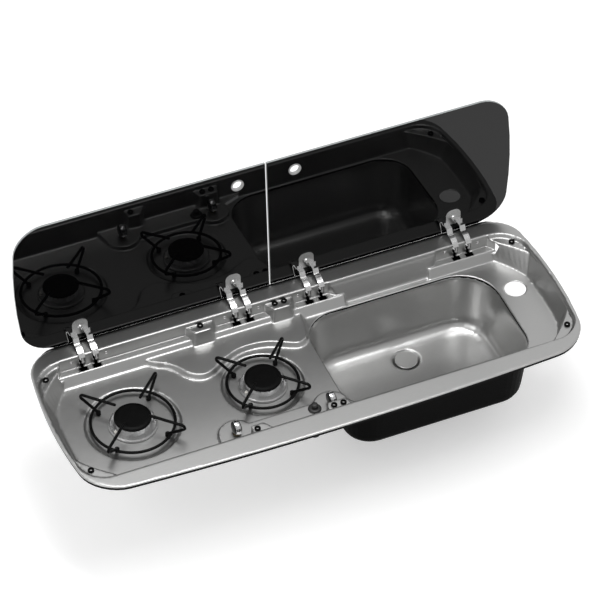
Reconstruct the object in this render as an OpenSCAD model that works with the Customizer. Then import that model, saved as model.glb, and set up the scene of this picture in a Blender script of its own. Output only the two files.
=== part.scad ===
// Hob and sink combination for a caravan worktop: a pressed steel deck with two
// gas burners, a welded basin and two hinged glass lids. Millimetres, Z up.
// The shapes are drawn with the rim's top face at Z 0 and the deck's middle at
// X 0, Y 0, and to_origin() then moves the middle of the corner holes to 0,0,0.

/* [Deck] */
// Overall length of the deck
deck_l = 900; // [860:5:960]
// Overall depth of the deck at its middle
deck_d = 341; // [336:1:350]
// How far the deck's ends bow outwards
end_bow = 16.5; // [8:0.5:20]
// How far the deck's front edge bows outwards
front_bow = 14.5; // [6:0.5:18]
// Corner radius at the front
deck_rf = 58; // [45:1:64]
// Corner radius at the back
deck_rb = 46; // [40:1:55]
// Thickness of the pressed sheet
sheet = 1; // [0.8:0.1:1.2]
// Depth of the rim's turned-down edge
lip_h = 2; // [1.5:0.1:3]
// Width of the seal under the rim
seal_w = 3.5; // [2.5:0.1:3.7]
// Thickness of the seal under the rim
seal_h = 4.5; // [3:0.5:6]

/* [Well] */
// Half length of the well at the rim
well_l = 443.5; // [438:0.5:444]
// Bow of the well's ends
well_bow = 11.5; // [6:0.5:13]
// Front edge of the well at the rim
well_front = 128.5; // [126:0.5:130]
// Back edge of the well at the rim
well_back = 139; // [138:0.5:141]
// Corner radius of the well at the front
well_rf = 41; // [36:1:46]
// Corner radius of the well at the back
well_rb = 43; // [40:1:46]
// Depth of the well's floor below the rim
floor_z = 40; // [39:0.5:42]
// Depth of the fixing pads below the rim
pad_z = 7; // [6:0.5:8]
// Run of the end walls from rim to floor
end_run = 16.5; // [12:0.5:20]
// Run of the front wall from rim to floor
front_run = 10; // [8:0.5:12]
// Run of the back wall from rim to floor
back_run = 17.5; // [16:0.5:19]
// Depth of the hinge strip below the rim
strip_z = 24.5; // [23:0.5:26]
// Front edge of the hinge strip
strip_front = 125; // [124:0.5:126]
// Foot of the slope in front of the hinge strip
slope_foot = 112; // [110:0.5:114]
// Depth of the shelf and of the knob platform below the rim
shelf_z = 32; // [30:0.5:34]

/* [Fixing holes] */
// Hole spacing along the length
fix_x = 840; // [832:1:842]
// Hole spacing across the depth
fix_y = 214; // [210:1:216]
// How far the middle of the holes lies behind the deck's middle
fix_mid = 7.5; // [6.5:0.5:8.5]
// Radius of each fixing hole
fix_r = 2.25; // [2:0.05:2.6]
// Outer radius of the rubber buffer round each hole
buffer_r = 5.2; // [5:0.1:6]

/* [Basin] */
// Left edge of the basin's mouth
basin_x0 = 25.5; // [24:0.5:28]
// Right edge of the basin's mouth
basin_x1 = 363; // [355:1:364]
// Front edge of the basin's mouth
basin_front = 115; // [112:0.5:116]
// Back edge of the basin's mouth
basin_back = 110; // [107:0.5:111]
// Corner radius of the mouth
basin_r = 56; // [48:1:60]
// Corner radius of the mouth at the back right
basin_rb = 70; // [58:1:76]
// Depth of the basin's floor below the rim
basin_z = 149; // [135:1:160]
// Draft of the basin's walls, from mouth to floor
basin_draft = 12; // [9:0.5:15]
// Radius between the basin's walls and floor
basin_fillet = 24; // [18:1:28]
// Thickness of the black sound-deadening coat
coat_t = 2; // [1.5:0.1:3]
// Waste, distance from the deck's middle
waste_x = 200; // [185:1:215]
// Waste, distance behind the deck's middle
waste_y = 54; // [44:1:56]
// Radius of the pressed recess round the waste
waste_r = 25; // [24:0.5:27]
// Depth of that recess
waste_h = 4; // [3:0.5:5]
// Radius of the waste's tail pipe
tail_r = 14; // [12:0.5:15]
// Length of the waste's tail pipe below its recess
tail_l = 46; // [40:1:60]
// Tap hole, distance from the deck's middle
tap_x = 393; // [390:0.5:394]
// Tap hole, distance behind the deck's middle
tap_y = 40; // [36:1:44]
// Radius of the tap hole
tap_r = 18.5; // [17:0.5:19]

/* [Burners] */
// Left burner, distance from the deck's middle
burner_x0 = -313; // [-316:1:-310]
// Right burner, distance from the deck's middle
burner_x1 = -85; // [-88:1:-82]
// Both burners, distance behind the deck's middle
burner_y = -1; // [-3:1:2]
// Radius of the burner cap
cap_r = 31; // [29:0.5:33]
// Depth of the cap's top below the rim
cap_z = 21.5; // [20:0.5:23]
// Radius of the burner's base ring
base_r = 40.5; // [39:0.5:42]
// Radius of the left burner's pressed recess
recess_r0 = 80; // [78:0.5:82]
// Radius of the right burner's pressed recess
recess_r1 = 69.5; // [68:0.5:71]
// Depth of both recesses
recess_h = 3; // [2:0.5:4]

/* [Pan supports] */
// Radius of the left support's ring
ring_r0 = 69; // [67:0.5:71]
// Radius of the right support's ring
ring_r1 = 59.5; // [57:0.5:61]
// Radius of the wire
wire_r = 2.5; // [2.2:0.1:2.8]
// Depth of the wire's top below the rim
grid_z = 5.5; // [5:0.5:7]
// How far a finger reaches past its ring
finger_out = 26; // [24:0.5:27]
// Radius at which the fingers start
finger_in = 31.5; // [30:0.5:34]
// Slope of a finger's lower leg in degrees
leg_slope = 36; // [34:1:40]

/* [Controls] */
// Left knob, distance from the deck's middle
knob_x0 = -168; // [-171:1:-165]
// Right knob, distance from the deck's middle
knob_x1 = -1.5; // [-3:0.5:0]
// Knobs and igniter, distance in front of the deck's middle
knob_y = 91.5; // [90:0.5:93]
// Radius of a knob's disc
knob_r = 12; // [11:0.5:12.5]
// Thickness of a knob's disc
knob_t = 14; // [12:0.5:15]
// Depth of a knob's middle below the rim
knob_z = 19.5; // [19:0.5:20.5]
// Travel of a knob when it is pushed
knob_push = 3; // [2:0.5:3.5]
// Igniter, distance from the deck's middle
igniter_x = -31; // [-33:1:-29]
// Length of the igniter below the platform
igniter_l = 66; // [55:1:75]
// Travel of the igniter's button
button_push = 4; // [3:0.5:5]

/* [Lids] */
// Thickness of the glass
glass_t = 4; // [3.5:0.5:5]
// Depth of the closed glass's underside below the rim
glass_z = 3; // [2.5:0.5:3.5]
// Gap between the closed lids
lid_gap = 2.2; // [1.5:0.1:3]
// Gap between the closed glass and the well's front and ends
lid_play = 2; // [1.8:0.1:2.6]
// Corner radius of the glass
lid_r = 48; // [46:1:54]
// Back edge of the closed glass
lid_back = 135; // [134:0.5:135.5]
// Opening angle of the lids
lid_angle = 93; // [90:1:96]
// Finger hole, distance from the split
grip_x = 50.5; // [45:0.5:60]
// Finger hole, distance in front of the deck's middle
grip_y = 97; // [90:1:104]
// Radius of the finger hole
grip_r = 8.5; // [7.5:0.5:9.5]

/* [Hinges] */
// Outer hinges, distance from the deck's middle
hinge_x1 = 337; // [332:1:342]
// Inner hinges, distance from the deck's middle
hinge_x0 = 66; // [62:1:70]
// Hinge pivot, distance behind the deck's middle
pivot_y = 156.5; // [156:0.5:157]
// Hinge pivot, depth below the rim
pivot_z = 20; // [19.5:0.5:20.5]
// Distance of each arm from the hinge's middle
arm_x = 12; // [11:0.5:13]
// Width of an arm
arm_w = 10; // [8:0.5:11]
// Thickness of the hinge's sheet
leaf_t = 1.5; // [1.2:0.1:1.6]
// Radius of the hinge pin
pin_r = 2.5; // [2:0.1:3]

/* [Gas pipes] */
// Radius of the supply rail
rail_r = 5; // [4:0.5:6]
// Radius of a burner's feed pipe
feed_r = 3; // [2.5:0.5:4]
// Distance of the gas inlet to the left of the left tap
inlet_out = 36; // [30:1:44]
// Distance of the inlet's shoulder behind the deck's middle
inlet_y = 118; // [112:1:122]
// Length of the inlet's stub behind its shoulder
inlet_l = 34; // [28:1:40]
// Distance that the rail runs past the right tap
rail_end = 12; // [10:1:20]
// Radius of the gas inlet's stub
inlet_r = 4; // [4:0.5:5]

/* [Hidden] */

$fn = 48;
eps = 0.01;
gap = 0.3;                                  // air between pieces that do not touch
fit = 0.05;                                 // radial play of a running fit
burner_x = [burner_x0, burner_x1];
recess_r = [recess_r0, recess_r1];
ring_r = [ring_r0, ring_r1];
knob_x = [knob_x0, knob_x1];
hinge_x = [-hinge_x1, -hinge_x0, hinge_x0, hinge_x1];
hole_mid_x = [-142, -8.2, 8.2];             // holes in the long sides' pads
hole_back_y = 133.5;
hole_front_y = -118.2;
buffer_h = pad_z - glass_z - gap;
recess_z = floor_z + recess_h;              // depth of the floor under a burner

// Middles of the ten fixing holes
hole_at = [for (x = [-1, 1], y = [-1, 1]) [x * fix_x / 2, fix_mid + y * fix_y / 2],
    for (x = hole_mid_x) [x, hole_back_y], for (x = hole_mid_x) [x, hole_front_y]];

module to_origin() {
    translate([0, -fix_mid, pad_z]) children();
}

// Points of an arc round c, from angle a0 to a1
function arc(c, r, a0, a1, n) =
    [for (i = [0:n]) let (a = a0 + (a1 - a0) * i / n) [c.x + r * cos(a), c.y + r * sin(a)]];

// Rounded rectangle, counter-clockwise, with the radii of its corners from the
// front right one round to the front left one, m points along each end and f
// along the front and the back
function rounded(x0, x1, y0, y1, r, n = 6, m = 0, f = 0) = concat(
    arc([x1 - r[0], y0 + r[0]], r[0], -90, 0, n),
    [for (i = [1:1:m]) [x1, y0 + r[0] + (y1 - y0 - r[0] - r[1]) * i / (m + 1)]],
    arc([x1 - r[1], y1 - r[1]], r[1], 0, 90, n),
    [for (i = [1:1:f]) [x1 - r[1] - (x1 - x0 - r[1] - r[2]) * i / (f + 1), y1]],
    arc([x0 + r[2], y1 - r[2]], r[2], 90, 180, n),
    [for (i = [1:1:m]) [x0, y1 - r[2] - (y1 - y0 - r[2] - r[3]) * i / (m + 1)]],
    arc([x0 + r[3], y0 + r[3]], r[3], 180, 270, n),
    [for (i = [1:1:f]) [x0 + r[3] + (x1 - x0 - r[3] - r[0]) * i / (f + 1), y0]]);

// Outline pushed outwards by d along its normals
function grown(p, d) = [for (i = [0:len(p) - 1])
    let (a = p[(i + len(p) - 1) % len(p)], b = p[(i + 1) % len(p)], t = b - a)
    p[i] + d * [t.y, -t.x] / norm(t)];

// Bow of the ends, which pulls the corners in by e, over y0 to y1
function end_bowed(p, half, e, y0, y1) = [for (q = p)
    let (u = (2 * q.y - y0 - y1) / (y1 - y0)) [q.x * (1 - e / half * u * u), q.y]];

// Deck's outline: straight back, bowed ends and front
function deck_outline(d = 0) = let (h = deck_d / 2, w = deck_l / 2,
    p = end_bowed(rounded(-w, w, -h, h, [deck_rf, deck_rb, deck_rb, deck_rf], 8, 7, 13),
        w, end_bow, front_bow - h, h))
    grown([for (q = p) let (u = q.x / (w - end_bow), v = (h - q.y) / deck_d)
        [q.x, q.y + front_bow * u * u * v * v]], d);

// Well's outline at a share s of the way from rim to floor
function well_side(s) = [well_l - end_run * s, -well_front + front_run * s, well_back - back_run * s];
function well_outline(s, d = 0) = let (k = well_side(s))
    grown(end_bowed(rounded(-k[0], k[0], k[1], k[2], [well_rf, well_rb, well_rb, well_rf], 8, 3),
        k[0], well_bow, k[1], k[2]), d);

// The same outline with its corners cut across: front and back each give a cut's
// reach along the long side and along the end; bulge keeps it a little rounded
bulge = 3;
function end_x(s, y) = let (k = well_side(s), u = (2 * y - k[1] - k[2]) / (k[2] - k[1])) k[0] - well_bow * u * u;
function cut_corner(a, b) = let (t = b - a, n = [t.y, -t.x] / norm(t))
    [for (i = [0:8]) let (u = i / 8) a + t * u + n * bulge * 4 * u * (1 - u)];
function cut_outline(s, back, front, d = 0) = let (k = well_side(s), x = k[0] - 4,
    yf = k[1] + front[1], yb = k[2] - back[1],
    side = [for (u = [0.2:0.3:0.8]) let (y = yf + (yb - yf) * u) [end_x(s, y), y]])
    grown(concat(
        cut_corner([x - front[0], k[1]], [end_x(s, yf), yf]), side,
        cut_corner([end_x(s, yb), yb], [x - back[0], k[2]]),
        cut_corner([back[0] - x, k[2]], [-end_x(s, yb), yb]), [for (i = [2:-1:0]) [-side[i].x, side[i].y]],
        cut_corner([-end_x(s, yf), yf], [front[0] - x, k[1]])), d);

// Solid through a stack of outlines, each a list of points at a height
function at_z(p, z) = [for (q = p) [q.x, q.y, z]];
module skin(rings) {
    n = len(rings[0]);
    m = len(rings);
    sides = [for (k = [0:m - 2], i = [0:n - 1]) let (j = (i + 1) % n, a = k * n + i, b = k * n + j)
        each [[a, a + n, b + n], [a, b + n, b]]];
    polyhedron([for (r = rings) each r],
        concat([[for (i = [0:n - 1]) i]], sides, [[for (i = [n - 1:-1:0]) (m - 1) * n + i]]), 6);
}

// Air above the pressed sheet before anything is raised, grown by g
module well_air(g) {
    s = pad_z / floor_z;
    skin([
        at_z(cut_outline(1, [40, 62], [36, 56], g), -floor_z - g),
        at_z(cut_outline(s, [57, 57], [58, 62], g - 0.3), -pad_z - g),
        at_z(well_outline(s, g), -pad_z - g),
        at_z(well_outline(0, g), g > 0 ? -sheet / 2 : 1)]);
    for (p = [hob_pocket(), sink_pocket()])
        translate([0, 0, -strip_z - 3]) linear_extrude(strip_z + 3 + (g > 0 ? -sheet / 2 : 1))
            polygon(grown(p, g));
    for (i = [0, 1])
        translate([burner_x[i], burner_y, -recess_z - g])
            cylinder(r1 = recess_r[i] - 3 + g, r2 = recess_r[i] + g, h = recess_h + eps);
}

// Plan of the hinge pockets in the back wall
function hob_pocket() = [[-hinge_x1 - 61, 118], [hinge_x0 + 48, 118], [hinge_x0 + 24, well_back],
    [-hinge_x1 - 50, well_back]];
function sink_pocket() = [[hinge_x1 - 66, 118], [hinge_x1 + 62, 118], [hinge_x1 + 48, well_back],
    [hinge_x1 - 48, well_back]];

// Raised form with a flat top p at depth z and sides that spread by run to the floor
module raised(p, z, run, s) {
    k = run / (floor_z - z);
    low = floor_z + 12;
    skin([at_z(grown(p, k * (low - z) - s), -low), at_z(grown(p, -s), -z - s)]);
}

// Smooth curve through chosen points
function curve(p, n) = [for (i = [1:len(p) - 3], k = [0:n - 1]) let (u = k / n, a = p[i - 1], b = p[i],
    c = p[i + 1], e = p[i + 2])
    0.5 * (2 * b + (c - a) * u + (2 * a - 5 * b + 4 * c - e) * u * u + (3 * b - a - 3 * c + e) * u * u * u)];

// Front edge of the shelf behind the burners: a lobe, a hollow round the right
// burner and a second lobe, all placed from the right burner
shelf_curve = [[-175, 124], [-160, 117], [-147, 107], [-132, 98], [-118, 84], [-105, 63], [-86, 51.5],
    [-66, 55], [-44, 69], [-14, 82], [14, 84.5], [44, 79], [70, 66], [89, 58], [104, 65], [112, 86],
    [116, 106], [118, 126], [120, 136]];
function shelf_edge() = concat([for (q = curve(shelf_curve, 4)) [burner_x1 + q.x, burner_y + q.y + 1]]);
module shelf(s) {
    e = shelf_edge();
    m = len(e);
    k = 5 / (floor_z - shelf_z);
    low = floor_z + 10;
    back = [for (i = [m - 1:-1:0]) [e[0].x + (e[m - 1].x - e[0].x) * i / (m - 1), 152]];
    rings = [for (h = [low, shelf_z + s]) let (d = k * (h == low ? low - shelf_z : 0) - s, p = grown(e, d))
        at_z([for (i = [0:2 * m - 1]) i < m ? (i == 0 ? e[0] + [-d, 0] : i == m - 1 ? e[i] + [d, 0] : p[i])
            : back[i - m] + [i == m ? d : i == 2 * m - 1 ? -d : 0, 0]], -h)];
    cap = [for (i = [0:m - 2]) [i, i + 1, 2 * m - 2 - i, 2 * m - 1 - i]];
    n = 2 * m;
    polyhedron(concat(rings[0], rings[1]), concat(cap,
        [for (i = [0:n - 1]) let (j = (i + 1) % n) each [[i, i + n, j + n], [i, j + n, j]]],
        [for (q = cap) [for (v = [3:-1:0]) q[v] + n]]), 6);
}

// Knob platform: a straight front stretch with a round lobe at each knob
module platform(s) {
    y = -knob_y + 12.5 - s;
    lobe = 29.5 - s;
    low = floor_z + 11;
    translate([0, 0, -low]) linear_extrude(low - shelf_z - s) {
        for (x = knob_x) translate([x, -knob_y]) circle(lobe);
        polygon([[knob_x0 - 44 + s, -150], [knob_x0 - 29.5 + s, -knob_y], [knob_x0, -knob_y], [knob_x0, y],
            [knob_x1, y], [knob_x1, -knob_y], [knob_x1 + 60, -knob_y - 25], [knob_x1 + 60, -150]]);
    }
}

// Slope in front of a stretch of the hinge strip, from x0 to x1 at its top
module slope(x0, x1, foot, drop, s) {
    low = floor_z + drop;
    skin([
        at_z(grown([[x0 - 6, foot - 10], [x1 - 4, foot - 10], [x1 + 20, 154], [x0 - 6, 154]], -s), -low),
        at_z(grown([[x0, strip_front], [x1, strip_front], [x1 + 14, 154], [x0, 154]], -s), -strip_z - s)]);
}

// Pad round a hole in the back wall
module back_pad(x, s) {
    raised([[x - 14, hole_back_y - 13], [x + 14, hole_back_y - 13], [x + 32, 152], [x - 32, 152]], pad_z, 9, s);
}

// Space over the pressed sheet with every form raised into it; with g at the
// sheet's thickness it is the outside of the same pressing
module formed_air(g) {
    difference() {
        well_air(g);
        slope(-hinge_x1 - 68, hinge_x0 + 48, slope_foot, 12, g);
        slope(hinge_x1 - 66, hinge_x1 + 62, slope_foot + 4.5, 13, g);
        back_pad(hole_mid_x[0], g);
        back_pad(0, g);
        raised([[hole_mid_x[0] - 10, hole_front_y - 14], [hole_mid_x[0] + 32, hole_front_y - 14],
            [hole_mid_x[0] + 14, hole_front_y + 11], [hole_mid_x[0] - 7, hole_front_y + 10]], pad_z, 4, g);
        raised([[hole_mid_x[1] - 16, hole_front_y - 14], [hole_mid_x[2] + 16, hole_front_y - 14],
            [hole_mid_x[2] + 8, hole_front_y + 10], [hole_mid_x[1] - 8, hole_front_y + 10]], pad_z, 4, g);
        shelf(g);
        platform(g);
    }
}

// Windows and slots that the hinge arms pass through
module hinge_cuts() {
    for (x = hinge_x, s = [-1, 1]) translate([x + s * arm_x, 0, 0]) {
        translate([-arm_w / 2 + 0.2, well_back - 3, -17]) cube([arm_w - 0.4, 8, 12.5]);
        translate([-arm_w / 2 - 2, pivot_y - 29.6, -strip_z - 4]) cube([arm_w + 4, 9.6, 8]);
        translate([-2.4, well_back - 8, -strip_z - 4]) cube([4.8, 16, 14]);
    }
}

module deck() {
    color("silver") to_origin() difference() {
        union() {
            difference() {
                translate([0, 0, -lip_h]) linear_extrude(lip_h) polygon(deck_outline());
                translate([0, 0, -lip_h - 1]) linear_extrude(lip_h + 1 - sheet)
                    polygon(deck_outline(-sheet));
            }
            formed_air(sheet);
        }
        formed_air(0);
        hinge_cuts();
        for (q = hole_at) translate([q.x, q.y, -pad_z - 5]) cylinder(r = fix_r, h = 10);
        translate([tap_x, tap_y, -floor_z - 5]) cylinder(r = tap_r, h = 10, $fn = 96);
        translate([0, 0, -floor_z - 5]) linear_extrude(10) polygon(basin_outline(0));
        for (i = [0, 1]) translate([burner_x[i], burner_y, -recess_z - 5]) cylinder(r = base_r - 2.2, h = 12);
        for (x = knob_x) translate([x, -knob_y, -shelf_z - 5]) cylinder(r = 5.5, h = 10);
        translate([igniter_x, -knob_y, -shelf_z - 5]) cylinder(r = 9.4, h = 10);
    }
}

module rim_seal() {
    color("black") to_origin() translate([0, 0, -sheet - seal_h]) linear_extrude(seal_h) difference() {
        polygon(deck_outline(-sheet));
        polygon(deck_outline(-sheet - seal_w));
    }
}

// Rubber rings on which the closed lids rest
module buffers() {
    color("black") to_origin() for (q = hole_at) translate([q.x, q.y, -pad_z]) rotate_extrude()
        polygon(concat([[fix_r, 0], [buffer_r, 0]],
            arc([(buffer_r + fix_r) / 2, buffer_h - (buffer_r - fix_r) / 2], (buffer_r - fix_r) / 2, 0, 180, 8)));
}

// Basin's mouth, inset by d
function basin_outline(d) = let (r = max(basin_r - d, 4), rb = max(basin_rb - d, 4))
    rounded(basin_x0 + d, basin_x1 - d, -basin_front + d, basin_back - d, [r, rb, r, r], 8, 0);

// Inside of the basin, grown by g

function basin_stack(g) = let (h = basin_z - floor_z, wall = basin_draft * (h - basin_fillet) / h)
    concat([for (k = [0:5]) let (a = 18 * k)
        at_z(basin_outline(wall - g + basin_fillet * (1 - sin(a))),
            -basin_z - g + basin_fillet * (1 - cos(a)))],
        [at_z(basin_outline(-g), -floor_z - sheet)]);

module basin() {
    color("silver") to_origin() difference() {
        union() {
            skin(basin_stack(sheet));
            translate([0, 0, -floor_z - 2 * sheet]) linear_extrude(sheet) polygon(grown(basin_outline(0), 7));
            translate([waste_x, waste_y, -basin_z - waste_h - sheet])
                cylinder(r1 = waste_r - 4 + sheet, r2 = waste_r + sheet, h = waste_h + sheet);
        }
        difference() {
            skin(basin_stack(0));
        }
        translate([0, 0, -floor_z - sheet - eps]) linear_extrude(3) polygon(basin_outline(0));
        translate([waste_x, waste_y, -basin_z - waste_h]) cylinder(r1 = waste_r - 4, r2 = waste_r, h = waste_h + eps);
        translate([waste_x, waste_y, -basin_z - 20]) cylinder(r = tail_r + 2.5, h = 30);
    }
}

module basin_coat() {
    top = floor_z + 2 * sheet + gap;
    color("black") to_origin() difference() {
        skin(basin_stack(sheet + fit + coat_t));
        skin(basin_stack(sheet + fit));
        translate([0, -200, -top]) cube([500, 400, 30]);
        translate([waste_x, waste_y, -basin_z - 20]) cylinder(r = waste_r + 9, h = 30);
    }
}

module waste_body() {
    z = basin_z + waste_h;
    color("gray") to_origin() translate([waste_x, waste_y, 0]) difference() {
        union() {
            translate([0, 0, -z]) cylinder(r = waste_r - 4.6, h = 1.5);
            translate([0, 0, -z - 24]) cylinder(r = tail_r + 2, h = 24);
            translate([0, 0, -z - tail_l]) cylinder(r = tail_r, h = tail_l);
        }
        translate([0, 0, -z - tail_l - 1]) cylinder(r = tail_r - 2, h = tail_l + 0.2);
        for (a = [0:60:300]) rotate(a) translate([8, 0, -z - 3]) cylinder(r = 2.6, h = 6);
    }
}

module waste_nut() {
    z = basin_z + waste_h + sheet;
    color("black") to_origin() translate([waste_x, waste_y, 0]) difference() {
        translate([0, 0, -z - 8]) union() {
            cylinder(r = waste_r + 6, h = 5, $fn = 8);
            cylinder(r = waste_r - 4, h = 8 - gap);
        }
        translate([0, 0, -z - 9]) cylinder(r = tail_r + 2 + fit, h = 20);
    }
}

// Lift-out stopper: a flat disc with a bevelled edge over a short skirt
module waste_plug() {
    z = basin_z + waste_h - 1.5 - gap;
    color("silver") to_origin() translate([waste_x, waste_y, -z]) rotate_extrude()
        polygon([[0, 0], [waste_r - 6.5, 0], [waste_r - 5.4, 1], [waste_r - 5.4, 2], [waste_r - 6.2, 2.8],
            [0, 2.8]]);
}

// Band of thickness t along a centre line c, in the plane of the list
function band(c, t) = let (n = len(c),
    nrm = [for (i = [0:n - 1]) let (u = c[min(i + 1, n - 1)] - c[max(i - 1, 0)]) [-u.y, u.x] / norm(u)])
    concat([for (i = [0:n - 1]) c[i] + nrm[i] * t / 2], [for (i = [n - 1:-1:0]) c[i] - nrm[i] * t / 2]);

// Prism of width w across X with its profile p in the Y, Z plane
module across(w, p) {
    translate([-w / 2, 0, 0]) rotate([90, 0, 90]) linear_extrude(w) polygon(p);
}

// Bracket spot-welded and riveted behind the well's back wall, with two ears
module hinge_bracket(i) {
    y = well_back + sheet;
    ear = arm_x + arm_w / 2 + 3;
    color("silver") to_origin() translate([hinge_x[i], 0, 0]) difference() {
        union() {
            translate([-37, y, -strip_z - sheet]) cube([74, leaf_t, strip_z - 1.5]);
            for (s = [-1, 1]) translate([s * ear, 0, 0]) across(leaf_t, concat(
                [[y, -4], [y, -strip_z - sheet]], arc([pivot_y, -pivot_z], pin_r + 4, -120, 90, 12)));
        }
        for (s = [-1, 1]) translate([s * arm_x, 0, 0]) {
            translate([-arm_w / 2 - 1, well_back - 3, -17]) cube([arm_w + 2, 8, 12.5]);
            translate([-3.4, well_back - 3, -strip_z - 4]) cube([6.8, 8, 14]);
            translate([s * 18.5, y - 2, -12.5]) rotate([-90, 0, 0]) cylinder(r = 2, h = 6);
        }
        translate([-50, pivot_y, -pivot_z]) rotate([0, 90, 0]) cylinder(r = pin_r + fit, h = 100);
    }
}

module hinge_pins() {
    l = 2 * (arm_x + arm_w / 2 + 5.5);
    color("gray") to_origin() for (x = hinge_x) translate([x - l / 2, pivot_y, -pivot_z]) rotate([0, 90, 0]) {
        cylinder(r = pin_r, h = l);
        translate([0, 0, -1.5]) cylinder(r = pin_r + 1.5, h = 1.5);
    }
}

// Torsion spring round each pin, as one tube along a helix
coil_turns = 5;
coil_pitch = 2.2;
coil_wire = 0.75;
coil_r = pin_r + coil_wire + 0.45;
echo(spring_gap = coil_pitch - 2 * coil_wire);
function coil_ring(u, r) = let (a = 360 * u, c = [coil_pitch * u, r * cos(a), r * sin(a)],
    out = [0, cos(a), sin(a)])
    [for (k = [0:5]) c + coil_wire * (cos(60 * k) * out + sin(60 * k) * [1, 0, 0])];
module hinge_springs() {
    n = coil_turns * 8;
    color("gray") to_origin() for (x = hinge_x)
        translate([x - coil_turns * coil_pitch / 2, pivot_y, -pivot_z])
            skin([for (k = [n:-1:0]) coil_ring(k / 8, coil_r)]);
}

module hinge_rivets() {
    color("gray") to_origin() for (x = hinge_x, s = [-1, 1])
        translate([x + s * (arm_x + 18.5), well_back + sheet + leaf_t, -12.5]) rotate([-90, 0, 0]) {
            cylinder(r = 3.2, h = 1.2);
            translate([0, 0, -leaf_t]) cylinder(r = 2 - fit, h = leaf_t);
        }
}

// What turns with a lid is drawn closed and then swung open round the pivot
module swung() {
    to_origin() translate([0, pivot_y, -pivot_z]) rotate([-lid_angle, 0, 0])
        translate([0, -pivot_y, pivot_z]) children();
}

// Leaf: a plate under the glass and two gooseneck arms that curve round the rim
leaf_y0 = 89.5;
leaf_y1 = 121;
leaf_w = 27;
screw_y = 106.5;
arm_r = 28.15;
arm_end = 233;
function turned(r, a) = [pivot_y + r * cos(a), -pivot_z + r * sin(a)];
module hinge_leaf(i) {
    z = -glass_z - leaf_t;
    line = concat([[leaf_y1 - leaf_t / 2, z + 0.2], [leaf_y1 - leaf_t / 2, -14.5]],
        arc([pivot_y, -pivot_z], arm_r, 176, arm_end, 10));
    color("silver") swung() translate([hinge_x[i], 0, 0]) difference() {
        union() {
            translate([0, 0, z]) linear_extrude(leaf_t) union() {
                translate([-leaf_w / 2, leaf_y0 + 11]) square([leaf_w, leaf_y1 - leaf_y0 - 11]);
                for (s = [-1, 1]) translate([s * (leaf_w / 2 - 11), leaf_y0 + 11]) circle(11);
                translate([11 - leaf_w / 2, leaf_y0]) square([leaf_w - 22, 11]);
                translate([-arm_x - arm_w / 2, leaf_y1 - 7]) square([2 * arm_x + arm_w, 7]);
            }
            for (s = [-1, 1]) translate([s * arm_x, 0, 0]) {
                across(arm_w, band(line, leaf_t));
                across(3, band([[pivot_y, -pivot_z], turned(arm_r - 4.4, arm_end + 18),
                    turned(arm_r, arm_end - 1)], 4));
                translate([-3, pivot_y, -pivot_z]) rotate([0, 90, 0]) cylinder(r = pin_r + 2, h = 6);
            }
        }
        translate([-40, pivot_y, -pivot_z]) rotate([0, 90, 0]) cylinder(r = pin_r + fit, h = 80);
        translate([0, screw_y, z - 1]) cylinder(r = 2.1, h = 5);
    }
}

// Half of the closed lids' outline on side s, pulled in from the well's edge
function lid_outline() = let (k = well_side(0), x = k[0] - lid_play, y0 = k[1] + lid_play)
    end_bowed(rounded(-x, x, y0, lid_back, [lid_r, lid_r, lid_r, lid_r], 8, 3),
        x, well_bow, k[1], k[2]);

module lid_glass(s) {
    color([0.05, 0.05, 0.06]) swung() difference() {
        translate([0, 0, -glass_z]) linear_extrude(glass_t) intersection() {
            polygon(lid_outline());
            translate([s > 0 ? lid_gap / 2 : -500, -200]) square([500 - lid_gap / 2, 400]);
        }
        translate([s * grip_x, -grip_y, -10]) cylinder(r = grip_r + 1, h = 20);
        for (x = [hinge_x0, hinge_x1]) translate([s * x, screw_y, -10]) cylinder(r = 3.2, h = 20);
    }
}

module lid_grip(s) {
    color("dimgray") swung() translate([s * grip_x, -grip_y, -glass_z]) difference() {
        union() {
            cylinder(r = grip_r + 1 - fit, h = glass_t);
            translate([0, 0, -0.8]) cylinder(r = grip_r + 2.6, h = 0.8);
            translate([0, 0, glass_t]) cylinder(r = grip_r + 2.6, h = 0.8);
        }
        translate([0, 0, -5]) cylinder(r = grip_r, h = 20);
    }
}

module lid_screws(s) {
    color("silver") swung() for (x = [hinge_x0, hinge_x1]) translate([s * x, screw_y, 0]) {
        translate([0, 0, -glass_z - leaf_t - 1.8]) cylinder(r1 = 3, r2 = 4, h = 1.8);
        translate([0, 0, -glass_z - leaf_t]) cylinder(r = 2, h = leaf_t + glass_t);
        translate([0, 0, glass_t - glass_z]) cylinder(r1 = 8, r2 = 6.5, h = 1.6);
    }
}

// Wire spring leg beside each leaf: a bent wire that presses on the glass
wire_t = 0.75;
function tube(c, r) = let (n = len(c)) [for (i = [0:n - 1])
    let (u = c[min(i + 1, n - 1)] - c[max(i - 1, 0)], w = [-u.y, u.x, 0] / norm(u))
    [for (k = [0:11]) c[i] + r * (cos(30 * k) * w + [0, 0, sin(30 * k)])]];
module lid_wires(s) {
    z = -glass_z - wire_t - 0.1;
    bend = arc([-5.8, 112.2], 1.6, 330, 180, 6);
    color("gray") swung() for (x = [hinge_x0, hinge_x1]) translate([s * x - arm_x - arm_w / 2, 0, 0])
        skin(tube(concat([[-1.2, 120, z]], [for (q = bend) [q.x, q.y, z]], [[-4.6, 134, z]]), wire_t));
}

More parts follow.
